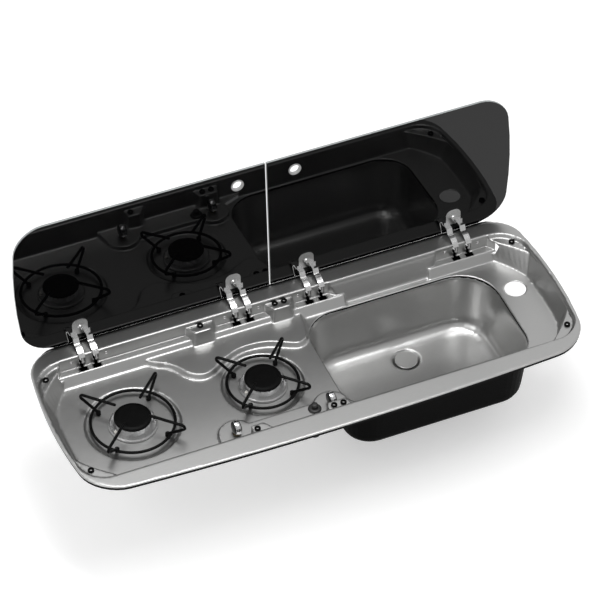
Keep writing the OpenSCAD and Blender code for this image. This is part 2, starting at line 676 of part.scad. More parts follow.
// Cast base of a burner, clamped through the deck's hole. The electrode and the flame
// sensor stand in holes between the cap and the base's edge.
pin_at = (cap_r + base_r) / 2 - 1.15;
module burner_base(i) {
    color("silver") to_origin() translate([burner_x[i], burner_y, 0]) difference() {
        union() {
            translate([0, 0, -recess_z]) rotate_extrude() polygon([[cap_r - 6, 0], [base_r - 1, 0],
                [base_r, 1.2], [base_r, 4], [base_r - 1.6, 5.5], [base_r - 3, 4.4], [cap_r - 2, 3.4], [cap_r - 6, 3.4]]);
            translate([0, 0, -recess_z - 22]) cylinder(r = cap_r - 1, h = 22 + 3.4);
            translate([0, -cap_r + 2, -recess_z - 13]) rotate([90, 0, 0]) cylinder(r = 7, h = 12);
        }
        translate([0, 0, -recess_z - 19]) cylinder(r = cap_r - 4, h = 30);
        translate([0, -cap_r + 6, -recess_z - 13]) rotate([90, 0, 0]) cylinder(r = feed_r + fit, h = 30);
        for (a = [196, 344]) rotate(a) translate([pin_at, 0, -recess_z - 2]) cylinder(r = 2.6, h = 12);
    }
}

// Aluminium flame ring with its ports
module burner_head(i) {
    z0 = recess_z - 3.4;
    z1 = cap_z + 5.2 + gap;
    color("silver") to_origin() translate([burner_x[i], burner_y, -z0]) difference() {
        cylinder(r = cap_r - 2.5, h = z0 - z1);
        translate([0, 0, -1]) cylinder(r = cap_r - 7, h = 20);
        for (a = [0:15:345]) rotate(a) translate([cap_r - 8, -0.9, z0 - z1 - 3]) cube([8, 1.8, 4]);
    }
}

module burner_cap(i) {
    z1 = cap_z + 5.2;
    color("black") to_origin() translate([burner_x[i], burner_y, -z1]) rotate_extrude()
        polygon([[0, 0], [cap_r - 1.2, 0], [cap_r, 0.8], [cap_r, 3], [cap_r - 1.6, 4.6], [cap_r - 6, 5.2], [0, 5.2]]);
}

module electrode(i) {
    color("white") to_origin() translate([burner_x[i], burner_y, 0]) rotate(196)
        translate([pin_at, 0, -recess_z - 12]) {
            cylinder(r = 2.6 - fit, h = 20);
            translate([0, 0, 20]) cylinder(r = 0.8, h = 3);
        }
}

module thermocouple(i) {
    color("goldenrod") to_origin() translate([burner_x[i], burner_y, 0]) rotate(344)
        translate([pin_at, 0, -recess_z - 14]) {
            cylinder(r = 2.6 - fit, h = 20);
            translate([0, 0, 20]) cylinder(r = 1.6, h = 5);
        }
}

// Welded wire pan support: a ring and four hairpin fingers in upright planes
bend_r = 5;
foot_z = 38;
module finger(r_ring) {
    rc = r_ring + finger_out - wire_r - bend_r;
    zc = -grid_z - wire_r - bend_r;
    a = leg_slope - 90;
    leg = (foot_z + zc + bend_r * sin(a)) / sin(leg_slope);
    translate([finger_in, 0, -grid_z - wire_r]) {
        rotate([0, 90, 0]) cylinder(r = wire_r, h = rc - finger_in);
        sphere(wire_r);
    }
    translate([rc, 0, zc]) rotate([90, 0, 0]) rotate(a - 1) rotate_extrude(angle = 92 - a)
        translate([bend_r, 0]) circle(wire_r + 0.02, $fn = 24);
    translate([rc + bend_r * cos(a), 0, zc + bend_r * sin(a)]) rotate([0, -90 - leg_slope, 0])
        cylinder(r = wire_r, h = leg);
}
function foot_r(r_ring) = let (a = leg_slope - 90, zc = -grid_z - wire_r - bend_r)
    r_ring + finger_out - wire_r - bend_r + bend_r * cos(a)
        - (foot_z + zc + bend_r * sin(a)) / tan(leg_slope);

module pan_support(i) {
    color("black") to_origin() translate([burner_x[i], burner_y, 0]) {
        translate([0, 0, -34]) rotate_extrude($fn = 96) translate([ring_r[i], 0]) circle(wire_r, $fn = 24);
        for (a = [45:90:315]) rotate(a) finger(ring_r[i]);
    }
}

module support_feet(i) {
    color("black") to_origin() translate([burner_x[i], burner_y, 0]) for (a = [45:90:315]) rotate(a)
        translate([foot_r(ring_r[i]), 0, gap - recess_z]) difference() {
            cylinder(r = 4, h = 6);
            translate([0, 0, recess_z - foot_z - gap]) rotate([0, 90 - leg_slope, 0])
                cylinder(r = wire_r + fit, h = 20);
        }
}

// Knob: an upright disc, flat underneath so that it can be pushed
knob_foot = shelf_z - knob_push - gap;
module knob_face(r, h) {
    intersection() {
        rotate([0, 90, 0]) cylinder(r = r, h = h, center = true);
        translate([-20, -20, knob_z - knob_foot]) cube([40, 40, 40]);
    }
}
module knob(i) {
    color("silver") to_origin() translate([knob_x[i], -knob_y, -knob_z]) difference() {
        knob_face(knob_r, knob_t);
        for (s = [-1, 1]) translate([s * (knob_t / 2 + 4), 0, 0]) rotate([0, 90, 0])
            cylinder(r = knob_r - 1.4, h = 10, center = true);
        translate([0, 0, -20]) cylinder(r = 3, h = 17);
    }
}

module knob_cheeks(i) {
    color("dimgray") to_origin() translate([knob_x[i], -knob_y, -knob_z]) for (s = [-1, 1])
        translate([s * (knob_t / 2 - 0.7), 0, 0]) knob_face(knob_r - 1.4 - fit, 0.6);
}

module spindle(i) {
    color("goldenrod") to_origin() translate([knob_x[i], -knob_y, -shelf_z - 16])
        cylinder(r = 3 - fit, h = shelf_z + 16 - knob_z - 3);
}

tap_l = 30;                                 // length of a tap's body
plug_r = 6;
plug_l = tap_l - 7;
rail_y = -knob_y + 16;
rail_z = -shelf_z - sheet - 24;
outlet_z = -shelf_z - sheet - 12;
module tap_plug(i) {
    z = shelf_z + sheet + tap_l - 2;
    color("goldenrod") to_origin() translate([knob_x[i], -knob_y, 0]) difference() {
        translate([0, 0, -z]) cylinder(r = plug_r, h = plug_l);
        translate([0, 0, -shelf_z - 16 - knob_push - 1]) cylinder(r = 3, h = 30);
    }
}

// Tap body: hangs from the platform, grips the rail and feeds one burner
module tap_body(i) {
    z = shelf_z + sheet;
    color("goldenrod") to_origin() translate([knob_x[i], -knob_y, 0]) difference() {
        union() {
            translate([0, 0, -z - 4]) cylinder(r = 13, h = 4);
            translate([0, 0, -z - tap_l]) cylinder(r = 10, h = tap_l);
            translate([0, 0, outlet_z]) rotate([-90, 0, 0]) cylinder(r = 4.4, h = 16);
            translate([-6, 0, rail_z - 7.5]) cube([12, knob_y + rail_y + 7.5, 14]);
        }
        translate([0, 0, gap - z - tap_l + 1]) cylinder(r = plug_r + fit, h = 60);
        translate([0, 8, outlet_z]) rotate([-90, 0, 0]) cylinder(r = feed_r + fit, h = 20);
        translate([-20, knob_y + rail_y, rail_z]) rotate([0, 90, 0]) cylinder(r = rail_r + fit, h = 40);
    }
}

module igniter_body() {
    z = shelf_z;
    color([0.1, 0.1, 0.1]) to_origin() translate([igniter_x, -knob_y, 0]) difference() {
        union() {
            translate([0, 0, -z]) rotate_extrude()
                polygon([[0, 0], [11, 0], [11, 1.2], [9.6, 3.2], [7.6, 4], [0, 4]]);
            translate([0, 0, -z - igniter_l + 6]) cylinder(r = 9, h = igniter_l - 5);
            translate([0, 0, -z - igniter_l]) cylinder(r = 3, h = 10);
        }
        translate([0, 0, -z - 14]) cylinder(r = 5.5, h = 30);
    }
}

module igniter_nut() {
    color("gray") to_origin() translate([igniter_x, -knob_y, -shelf_z - sheet - 4]) difference() {
        cylinder(r = 11.4, h = 4, $fn = 6);
        translate([0, 0, -1]) cylinder(r = 9 + fit, h = 8);
    }
}

module igniter_button() {
    color([0.15, 0.15, 0.15]) to_origin() translate([igniter_x, -knob_y, -shelf_z - 8]) rotate_extrude()
        polygon([[0, 0], [5.4, 0], [5.4, 18], [4.6, 19.2], [3, 19.8], [0, 20]]);
}

// Round pipe along a list of points, with a bend of reach d at each corner
function unit(v) = v / norm(v);
function bent(p, d) = concat([p[0]], [for (i = [1:len(p) - 2], k = [0:4])
    let (a = p[i] + d * unit(p[i - 1] - p[i]), b = p[i] + d * unit(p[i + 1] - p[i]), u = k / 4)
    (1 - u) * (1 - u) * a + 2 * u * (1 - u) * p[i] + u * u * b], [p[len(p) - 1]]);
module pipe(p, r, n = 12) {
    m = len(p);
    skin([for (i = [0:m - 1]) let (u = unit(p[min(i + 1, m - 1)] - p[max(i - 1, 0)]),
        w = unit(cross([0, 0, 1], u)), v = cross(u, w))
        [for (k = [0:n - 1]) p[i] + r * (cos(360 * k / n) * w + sin(360 * k / n) * v)]]);
}

module gas_rail() {
    x = knob_x0 - inlet_out;
    color("goldenrod") to_origin() {
        translate([x, rail_y, rail_z]) {
            rotate([0, 90, 0]) cylinder(r = rail_r, h = knob_x1 + rail_end - x);
            sphere(rail_r);
            rotate([-90, 0, 0]) cylinder(r = rail_r, h = inlet_y - rail_y);
        }
        translate([x, inlet_y, rail_z]) rotate([-90, 0, 0]) cylinder(r = inlet_r, h = inlet_l);
    }
}

module feed_pipe(i) {
    z1 = -recess_z - 13;
    y1 = burner_y - cap_r - 8;
    color("goldenrod") to_origin()
        pipe(bent([[knob_x[i], -knob_y + 10.2, outlet_z], [knob_x[i], -knob_y + 26, outlet_z],
            [burner_x[i], y1 - 10, z1], [burner_x[i], y1 + 10, z1]], 7), feed_r);
}

module hinge_bracket_1() { hinge_bracket(0); }
module hinge_bracket_2() { hinge_bracket(1); }
module hinge_bracket_3() { hinge_bracket(2); }
module hinge_bracket_4() { hinge_bracket(3); }
module hinge_leaf_1() { hinge_leaf(0); }
module hinge_leaf_2() { hinge_leaf(1); }
module hinge_leaf_3() { hinge_leaf(2); }
module hinge_leaf_4() { hinge_leaf(3); }

deck();
rim_seal();
buffers();
basin();
basin_coat();
waste_body();
waste_nut();
waste_plug();
hinge_bracket_1();
hinge_bracket_2();
hinge_bracket_3();
hinge_bracket_4();
hinge_pins();
hinge_springs();
hinge_rivets();
hinge_leaf_1();
hinge_leaf_2();
hinge_leaf_3();
hinge_leaf_4();
lid_glass(-1);  // lid_glass_left
lid_glass(1);  // lid_glass_right
lid_grip(-1);  // lid_grip_left
lid_grip(1);  // lid_grip_right
lid_screws(-1);  // lid_screws_left
lid_screws(1);  // lid_screws_right
lid_wires(-1);  // lid_wires_left
lid_wires(1);  // lid_wires_right
burner_base(0);  // burner_base_left
burner_base(1);  // burner_base_right
burner_head(0);  // burner_head_left
burner_head(1);  // burner_head_right
burner_cap(0);  // burner_cap_left
burner_cap(1);  // burner_cap_right
electrode(0);  // electrode_left
electrode(1);  // electrode_right
thermocouple(0);  // thermocouple_left
thermocouple(1);  // thermocouple_right
pan_support(0);  // pan_support_left
pan_support(1);  // pan_support_right
support_feet(0);  // support_feet_left
support_feet(1);  // support_feet_right
knob(0);  // knob_left
knob(1);  // knob_right
knob_cheeks(0);  // knob_cheeks_left
knob_cheeks(1);  // knob_cheeks_right
spindle(0);  // spindle_left
spindle(1);  // spindle_right
tap_plug(0);  // tap_plug_left
tap_plug(1);  // tap_plug_right
tap_body(0);  // tap_body_left
tap_body(1);  // tap_body_right
igniter_body();
igniter_nut();
igniter_button();
gas_rail();
feed_pipe(0);  // feed_pipe_left
feed_pipe(1);  // feed_pipe_right
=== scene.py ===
import bpy
import bmesh
import math
from mathutils import Matrix, Vector
from mathutils.bvhtree import BVHTree


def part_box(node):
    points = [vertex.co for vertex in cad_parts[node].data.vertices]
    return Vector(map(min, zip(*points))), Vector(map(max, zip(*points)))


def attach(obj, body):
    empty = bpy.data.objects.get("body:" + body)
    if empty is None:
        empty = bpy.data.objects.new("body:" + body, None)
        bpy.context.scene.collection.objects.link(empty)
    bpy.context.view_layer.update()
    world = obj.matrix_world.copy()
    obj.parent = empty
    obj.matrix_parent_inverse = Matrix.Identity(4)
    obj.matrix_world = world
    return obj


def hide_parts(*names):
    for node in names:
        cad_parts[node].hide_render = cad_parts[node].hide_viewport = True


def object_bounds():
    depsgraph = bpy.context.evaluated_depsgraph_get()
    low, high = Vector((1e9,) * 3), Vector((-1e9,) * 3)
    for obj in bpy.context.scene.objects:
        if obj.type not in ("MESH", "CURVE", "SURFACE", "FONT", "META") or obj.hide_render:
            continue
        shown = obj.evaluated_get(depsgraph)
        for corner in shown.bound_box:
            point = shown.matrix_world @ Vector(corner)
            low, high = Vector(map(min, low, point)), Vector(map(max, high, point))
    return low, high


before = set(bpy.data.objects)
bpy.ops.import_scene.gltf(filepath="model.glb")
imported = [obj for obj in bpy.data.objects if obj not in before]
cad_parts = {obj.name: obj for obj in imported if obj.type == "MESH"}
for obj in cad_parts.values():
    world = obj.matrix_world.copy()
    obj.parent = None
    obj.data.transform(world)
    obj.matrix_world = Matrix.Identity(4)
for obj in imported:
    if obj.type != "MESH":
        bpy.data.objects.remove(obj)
cad_box = [list(c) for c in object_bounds()]
scene = bpy.context.scene
scene.view_settings.view_transform = "Standard"


# Camera: the unit is seen from its front left, 45 degrees above it,
# with a long lens five metres away.
camera = bpy.data.objects.new("camera", bpy.data.cameras.new("camera"))
scene.collection.objects.link(camera)
turn, tilt = math.radians(22.76083), math.radians(45.02709)
distance, aside, above = 5.2971, -0.01714936, 0.08626799
deck_middle = Vector((0, -0.0075, 0.007))
ahead = Vector((math.sin(turn) * math.cos(tilt), math.cos(turn) * math.cos(tilt), -math.sin(tilt)))
right = Vector((math.cos(turn), -math.sin(turn), 0))
up = right.cross(ahead)
camera.location = right * aside + up * above - ahead * distance + deck_middle
camera.rotation_euler = Matrix((right, up, -ahead)).transposed().to_euler()
camera.data.lens = 193.66
camera.data.sensor_width = 36
camera.data.clip_end = 30
scene.camera = camera


# Deck: one pressing of 1 mm stainless steel with a satin grain along its length. The well,
# the two burner recesses, the hinge pads and the screw pads are stamped into it, and the
# rim is folded down all round. It carries every other piece.
def preset(node, values):
    """Sets a node's inputs by their names."""
    for name, value in values.items():
        node.inputs[name].default_value = value


def finish(name, colour, metal, rough, grain=(1, 1, 1), scale=60, mottle=0.08, spread=0.06,
           bump=0.1, depth=0.0002, patch=0.0, specular=0.5):
    """A metal, enamel, rubber, glass or plastic. Its fine grain varies the colour by mottle, the
    roughness by spread and the height by bump times depth; patch adds broad faint patches."""
    noise_low, noise_high = 0.3, 0.7
    broad_low, broad_high = 0.35, 0.65
    least_rough = 0.02
    m = bpy.data.materials.new(name)
    m.use_nodes = True
    n, link = m.node_tree.nodes, m.node_tree.links.new
    shader = n["Principled BSDF"]
    preset(shader, {"Metallic": metal, "Specular IOR Level": specular})
    place = n.new("ShaderNodeTexCoord")
    stretch = n.new("ShaderNodeMapping")
    preset(stretch, {"Scale": grain})
    link(place.outputs["Object"], stretch.inputs["Vector"])
    fine = n.new("ShaderNodeTexNoise")
    preset(fine, {"Scale": scale, "Detail": 5})
    link(stretch.outputs["Vector"], fine.inputs["Vector"])
    broad = n.new("ShaderNodeTexNoise")
    preset(broad, {"Scale": 9, "Detail": 2})
    link(place.outputs["Object"], broad.inputs["Vector"])
    both = n.new("ShaderNodeMath")
    both.operation = "MULTIPLY_ADD"
    both.inputs[1].default_value = patch
    link(broad.outputs["Fac"], both.inputs[0])
    link(fine.outputs["Fac"], both.inputs[2])
    tone = n.new("ShaderNodeMapRange")
    preset(tone, {"From Min": noise_low + broad_low * patch,
                  "From Max": noise_high + broad_high * patch})
    link(both.outputs[0], tone.inputs["Value"])
    mix = n.new("ShaderNodeMix")
    mix.data_type = "RGBA"
    preset(mix, {"A": (*[c * (1 - mottle) for c in colour], 1),
                 "B": (*[min(1, c * (1 + mottle)) for c in colour], 1)})
    link(tone.outputs["Result"], mix.inputs["Factor"])
    link(mix.outputs["Result"], shader.inputs["Base Color"])
    gloss = n.new("ShaderNodeMapRange")
    preset(gloss, {"From Min": noise_low, "From Max": noise_high,
                   "To Min": max(least_rough, rough - spread), "To Max": rough + spread})
    link(fine.outputs["Fac"], gloss.inputs["Value"])
    link(gloss.outputs["Result"], shader.inputs["Roughness"])
    relief = n.new("ShaderNodeBump")
    preset(relief, {"Strength": bump, "Distance": depth})
    link(fine.outputs["Fac"], relief.inputs["Height"])
    link(relief.outputs["Normal"], shader.inputs["Normal"])
    return m


def dress(material, *nodes):
    """Gives a finish to solids that keep their own shape."""
    for name in nodes:
        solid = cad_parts[name]
        if not solid.material_slots:
            solid.data.materials.append(material)
        for s in solid.material_slots:
            s.material = material


def whole(node):
    """A copy of a solid's mesh with its doubles merged."""
    same_place, no_length = 2e-5, 1e-6
    bm = bmesh.new()
    bm.from_mesh(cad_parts[node].data)
    bmesh.ops.remove_doubles(bm, verts=bm.verts, dist=same_place)
    bmesh.ops.dissolve_degenerate(bm, edges=bm.edges, dist=no_length)
    bm.normal_update()
    return bm


def outer_skin(node):
    """The upper side of a pressing: all that faces up, and each wall with open sky above it."""
    least_rise, least_wall, clear, flat_angle = 0.02, 0.0015, 0.0002, 0.004
    bm = whole(node)
    bmesh.ops.dissolve_limit(bm, angle_limit=flat_angle, use_dissolve_boundaries=False,
                             verts=bm.verts, edges=bm.edges)
    bm.normal_update()
    tree = BVHTree.FromBMesh(bm)

    def upper(f):
        at = [v.co.z for v in f.verts]
        if abs(f.normal.z) > least_rise or max(at) - min(at) < least_wall:
            return f.normal.z > least_rise
        start = f.calc_center_median() + f.normal * clear
        return tree.ray_cast(start, Vector((0, 0, 1)))[0] is None

    bmesh.ops.delete(bm, geom=[f for f in bm.faces if not upper(f)], context="FACES")
    bmesh.ops.delete(bm, geom=[v for v in bm.verts if not v.link_faces], context="VERTS")
    return bm


def slice_up(bm, faces, axis, low, high, pitch):
    """Cuts faces by planes about a pitch apart along one axis, by halving the stretch."""
    if high - low < pitch * 1.5 or not faces:
        return
    middle = (low + high) / 2
    geom = set(faces)
    for f in faces:
        geom.update(f.edges)
        geom.update(f.verts)
    level, across = Vector((0, 0, 0)), Vector((0, 0, 0))
    level[axis], across[axis] = middle, 1
    cut = bmesh.ops.bisect_plane(bm, geom=list(geom), dist=1e-5, plane_co=level, plane_no=across)
    after = [g for g in cut["geom"] if isinstance(g, bmesh.types.BMFace) and g.is_valid]
    below = [f for f in after if f.calc_center_median()[axis] < middle]
    above = [f for f in after if f.calc_center_median()[axis] >= middle]
    slice_up(bm, below, axis, low, middle, pitch)
    slice_up(bm, above, axis, middle, high, pitch)


def soften(bm, pitch, passes, crisp=None):
    """Cuts a pressed skin into a fine even net and rounds its creases, with its free edges held.
    Where crisp(point) is true it is rounded twice and no more."""
    crisp_passes, least_edge, flat_angle = 2, 2e-4, 0.0015
    bmesh.ops.dissolve_limit(bm, angle_limit=flat_angle, use_dissolve_boundaries=False,
                             verts=bm.verts, edges=bm.edges)
    for axis in (0, 1, 2):
        at = [v.co[axis] for v in bm.verts]
        slice_up(bm, bm.faces[:], axis, min(at), max(at), pitch)
    bmesh.ops.triangulate(bm, faces=bm.faces)
    bmesh.ops.dissolve_degenerate(bm, edges=bm.edges, dist=least_edge)
    bmesh.ops.triangulate(bm, faces=[f for f in bm.faces if len(f.verts) > 3])
    inside = [v for v in bm.verts if not v.is_boundary]
    for done in range(passes):
        if done == crisp_passes and crisp:
            inside = [v for v in inside if not crisp(v.co)]
        bmesh.ops.smooth_vert(bm, verts=inside, factor=0.5,
                              use_axis_x=True, use_axis_y=True, use_axis_z=True)


def bevel(bm, edges, offset, segments):
    """Rounds edges by an offset."""
    bmesh.ops.bevel(bm, geom=edges, offset=offset, offset_type="OFFSET", segments=segments,
                    profile=0.5, affect="EDGES", material=-1, clamp_overlap=True)


def piece(name, bm, material, body, sharp=40):
    """Turns a worked mesh into a named piece on its body, with edges over sharp degrees kept."""
    bm.normal_update()
    for f in bm.faces:
        f.smooth = True
    for e in bm.edges:
        e.smooth = e.calc_face_angle(0) < math.radians(sharp)
    mesh = bpy.data.meshes.new(name)
    bm.to_mesh(mesh)
    bm.free()
    mesh.materials.append(material)
    o = bpy.data.objects.new(name, mesh)
    scene.collection.objects.link(o)
    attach(o, body)
    return o


def thicken(o, wall):
    """Gives a skin its wall, inwards from the outer face."""
    m = o.modifiers.new("wall", "SOLIDIFY")
    m.thickness = wall
    m.offset = -1


pressed_sharp, deck_wall, basin_wall = 78, 0.001, 0.0009
satin_steel = finish("satin_steel", (0.52, 0.52, 0.515), 1, 0.34, grain=(1, 14, 14), scale=120,
                     mottle=0.035, spread=0.03, bump=0.02, depth=0.00002, patch=0.5)
deck_skin = outer_skin("deck")
soften(deck_skin, pitch=0.0034, passes=2)
deck = piece("pressed_deck", deck_skin, satin_steel, "unit", sharp=pressed_sharp)
thicken(deck, deck_wall)
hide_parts("deck")


# Rim seal: a strip of soft black foam rubber stuck under the rim, which the worktop squeezes.
# It is drawn 2.5 mm thicker than when it is fitted, and at the back it stands 4.5 mm out behind
# the rim, where the open lids stand over it. Its black line is partly the seal and partly painted
# shade: the extra depth and the stand-out let it show the shade under the rim's lip and the lids.
black_rubber = finish("black_rubber", (0.0025, 0.0025, 0.0025), 0, 0.7, scale=900, mottle=0.2,
                      bump=0.25, specular=0.1)
# The extra drop and the stand-out are painted shade: they make the black seal also show the shade
# under the rim and the lids.
seal_shade_drop, foot_depth = 0.0025, 0.001
seal_shade_stand_out, back_y, back_end, fade_out = 0.0045, 0.1, 0.415, 0.02
strip = whole("rim_seal")
strip_foot = min(v.co.z for v in strip.verts)
for v in strip.verts:
    if v.co.z < strip_foot + foot_depth:
        v.co.z -= seal_shade_drop
behind = {v for f in strip.faces if f.normal.y > 0.7 and f.calc_center_median().y > back_y
          for v in f.verts}
for v in behind:
    v.co.y += seal_shade_stand_out * min(1, max(0, (back_end - abs(v.co.x)) / fade_out))
seal = piece("foam_seal_and_shade", strip, black_rubber, "unit")
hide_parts("rim_seal")


# Screw rings: a moulded ring of black rubber lies round each fixing hole. It sits loose on
# its pad, and the screw through it holds it there.
dress(black_rubber, "buffers")


# Basin: deep-drawn stainless steel, welded into the deck, with a black sound-deadening coat
# sprayed on its outside.
satin_basin = finish("satin_basin", (0.56, 0.56, 0.555), 1, 0.3, grain=(1, 1, 5), scale=160,
                     mottle=0.02, spread=0.006, bump=0.02, depth=0.00002, patch=0.5)
basin_skin = outer_skin("basin")
low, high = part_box("waste_plug")
drain = Vector([(a + b) / 2 for a, b in zip(low, high)])
drain_reach = 0.036
soften(basin_skin, pitch=0.0045, passes=12,
       crisp=lambda at: (at.xy - drain.xy).length < drain_reach)
basin = piece("drawn_basin", basin_skin, satin_basin, "unit", sharp=pressed_sharp)
thicken(basin, basin_wall)
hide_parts("basin")
black_coat = finish("black_coat", (0.0012, 0.0012, 0.0012), 0, 0.55, scale=700, mottle=0.25,
                    spread=0.12, bump=0.4, depth=0.0003, specular=0.03)
dress(black_coat, "basin_coat")


# Waste: a moulded black waste, clamped through the basin's floor by its screwed nut, and a
# loose stopper disc of satin steel in it.
black_plastic = finish("black_plastic", (0.02, 0.02, 0.02), 0, 0.42, scale=500, mottle=0.15,
                       bump=0.15)
dress(satin_basin, "waste_plug")
dress(black_plastic, "waste_body", "waste_nut")


# Hinges: stamped and bright-plated steel brackets, leaves, pins and rivets, with wound torsion
# springs. The brackets are riveted behind the well's back wall.
bright_steel = finish("bright_steel", (0.75, 0.75, 0.75), 1, 0.15, scale=300, mottle=0.06,
                      spread=0.05, bump=0.08, depth=0.00005)
hinges = (1, 2, 3, 4)
dress(bright_steel, "hinge_pins", "hinge_springs", "hinge_rivets",
      *["hinge_bracket_%d" % i for i in hinges], *["hinge_leaf_%d" % i for i in hinges])


# Hinge shade boxes: a thin open box of black under each hinge's slots, deep enough for the arms
# to swing in. It is painted shade: it stands in for the dark below the unit seen through the
# slots, and makes the slots show black.
painted_shade_black = finish("painted_shade_black", (0.003, 0.003, 0.003), 0, 0.6, scale=500, mottle=0.15,
                   bump=0.15, specular=0.1)
box_size, box_wall, box_round = (0.0425, 0.0354, 0.0204), 0.0008, 0.0025
box_back, box_drop, box_floor = 0.0035, 0.0104, 0.015
# Each box is black painted shade under one hinge's slots.
for i in hinges:
    low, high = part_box("hinge_bracket_%d" % i)
    shell = bmesh.new()
    bmesh.ops.create_cube(shell, size=1)
    bmesh.ops.scale(shell, verts=shell.verts, vec=box_size)
    bmesh.ops.translate(shell, verts=shell.verts,
                        vec=((low[0] + high[0]) / 2, low[1] + box_back, low[2] - box_drop))
    shell.normal_update()
    corners = [e for e in shell.edges if abs(e.verts[0].co.z - e.verts[1].co.z) > 0.01 or
               max(v.co.z for v in e.verts) < low[2] - box_floor]
    bevel(shell, corners, offset=box_round, segments=4)
    bmesh.ops.delete(shell, geom=[f for f in shell.faces if f.normal.z > 0.5], context="FACES")
    thicken(piece("painted_shade_box_%d" % i, shell, painted_shade_black, "unit"), box_wall)


# Rivet heads: the domed heads of the two steel rivets beside each hinge, on the front of the
# well's back wall. Their shanks and tails hold the bracket behind it.
head_radius, rivet_aside, rivet_front, rivet_height = 0.0027, 0.0305, 0.0011, -0.0025
heads = bmesh.new()
for i in hinges:
    low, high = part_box("hinge_bracket_%d" % i)
    for way in (-1, 1):
        head = bmesh.ops.create_uvsphere(heads, u_segments=20, v_segments=12,
                                         radius=head_radius)["verts"]
        bmesh.ops.scale(heads, verts=head, vec=(1, 0.5, 1))
        bmesh.ops.translate(heads, verts=head, vec=((low[0] + high[0]) / 2 + way * rivet_aside,
                                                    low[1] - rivet_front, rivet_height))
piece("rivet_heads", heads, bright_steel, "unit", sharp=60)


# Lids: two panes of black tinted toughened glass with a polished edge, left bare. Each has a
# finger hole with a grey ring, a screw into each hinge and a bent wire beside it.
black_glass = finish("black_glass", (0.0015, 0.0015, 0.0017), 0, 0.02, scale=30, mottle=0.1,
                     spread=0.005, bump=0.0)
preset(black_glass.node_tree.nodes["Principled BSDF"], {"IOR": 1.4})
glass_edge = finish("glass_edge", (0.33, 0.35, 0.35), 0, 0.12, scale=200, mottle=0.08,
                    spread=0.03, bump=0.02)
grey_plastic = finish("grey_plastic", (0.42, 0.42, 0.42), 0, 0.4, scale=500, mottle=0.05,
                      bump=0.1)
downwards, outwards = Vector((0, -0.0523, -0.9986)), Vector((0, 0.9986, -0.0523))
longer, hem_depth, edge_round = 0.0022, 0.0005, 0.0008


def is_broad(face):
    """Whether a face is one of the pane's two broad sides."""
    return abs(face.normal.dot(outwards)) > 0.99


for side in ("left", "right"):
    pane = whole("lid_glass_" + side)
    bmesh.ops.dissolve_limit(pane, angle_limit=0.01, verts=pane.verts, edges=pane.edges)
    hem = min(v.co.z for v in pane.verts)
    for v in pane.verts:
        if v.co.z < hem + hem_depth:
            v.co += downwards * longer
    pane.normal_update()
    broad_faces = {f for f in pane.faces if is_broad(f)}
    rims = [e for e in pane.edges if sum(f in broad_faces for f in e.link_faces) == 1]
    bevel(pane, rims, offset=edge_round, segments=2)
    pane.normal_update()
    for f in pane.faces:
        f.material_index = 0 if is_broad(f) else 1
    glass = piece("glass_lid_" + side, pane, black_glass, "lid_" + side, sharp=15)
    glass.data.materials.append(glass_edge)
    for p in glass.data.polygons:
        p.use_smooth = p.material_index == 1
    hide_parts("lid_glass_" + side)
    dress(grey_plastic, "lid_grip_" + side)
    dress(bright_steel, "lid_screws_" + side, "lid_wires_" + side)


# Burners: a cast base, a cast and machined aluminium flame ring and a black enamelled cap,
# with a white ceramic electrode and a steel flame sensor beside them.
cast_aluminium = finish("cast_aluminium", (0.55, 0.55, 0.55), 1, 0.4, scale=400, mottle=0.12,
                        spread=0.1, bump=0.3, depth=0.0001)
black_enamel = finish("black_enamel", (0.0022, 0.0022, 0.0022), 0, 0.36, scale=300, mottle=0.2,
                      spread=0.06, bump=0.03, specular=0.1)
white_ceramic = finish("white_ceramic", (0.75, 0.73, 0.69), 0, 0.25, scale=200, mottle=0.04)
for side in ("left", "right"):
    dress(cast_aluminium, "burner_base_" + side, "burner_head_" + side)
    dress(black_enamel, "burner_cap_" + side)
    dress(white_ceramic, "electrode_" + side)
    dress(bright_steel, "thermocouple_" + side)


# Pan supports: rings and fingers of round wire, welded and enamelled black, standing on four
# rubber feet each.
for side in ("left", "right"):
    dress(black_enamel, "pan_support_" + side)
    dress(black_rubber, "support_feet_" + side)


# Knobs: a moulded upright disc on each tap spindle, flat below, with a crowned chromed band
# round it and a domed cheek of dark plastic on either side.
def turned(bm, profile, centre, steps=64):
    """Spins a profile of (distance along X, radius), in mm, round an axis along X."""
    rows = [bm.verts.new((centre.x + a / 1000, centre.y, centre.z + r / 1000)) for a, r in profile]
    line = [bm.edges.new(pair) for pair in zip(rows, rows[1:])]
    bmesh.ops.spin(bm, geom=rows + line, cent=centre, axis=(1, 0, 0), dvec=(0, 0, 0),
                   angle=2 * math.pi, steps=steps, use_merge=True, use_duplicate=False)


def knob_piece(bm, foot, side, name, coat, old):
    """Closes a turned mesh, cuts it flat at the knob's foot and puts it in the solid's place."""
    bmesh.ops.remove_doubles(bm, verts=bm.verts, dist=1e-6)
    bmesh.ops.bisect_plane(bm, geom=bm.verts[:] + bm.edges[:] + bm.faces[:], dist=1e-6,
                           plane_co=(0, 0, foot), plane_no=(0, 0, -1), clear_outer=True)
    bmesh.ops.holes_fill(bm, edges=[e for e in bm.edges if e.is_boundary], sides=0)
    bmesh.ops.recalc_face_normals(bm, faces=bm.faces)
    disc = piece(name + side, bm, coat, "control_" + side, sharp=35)
    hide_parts(old + side)


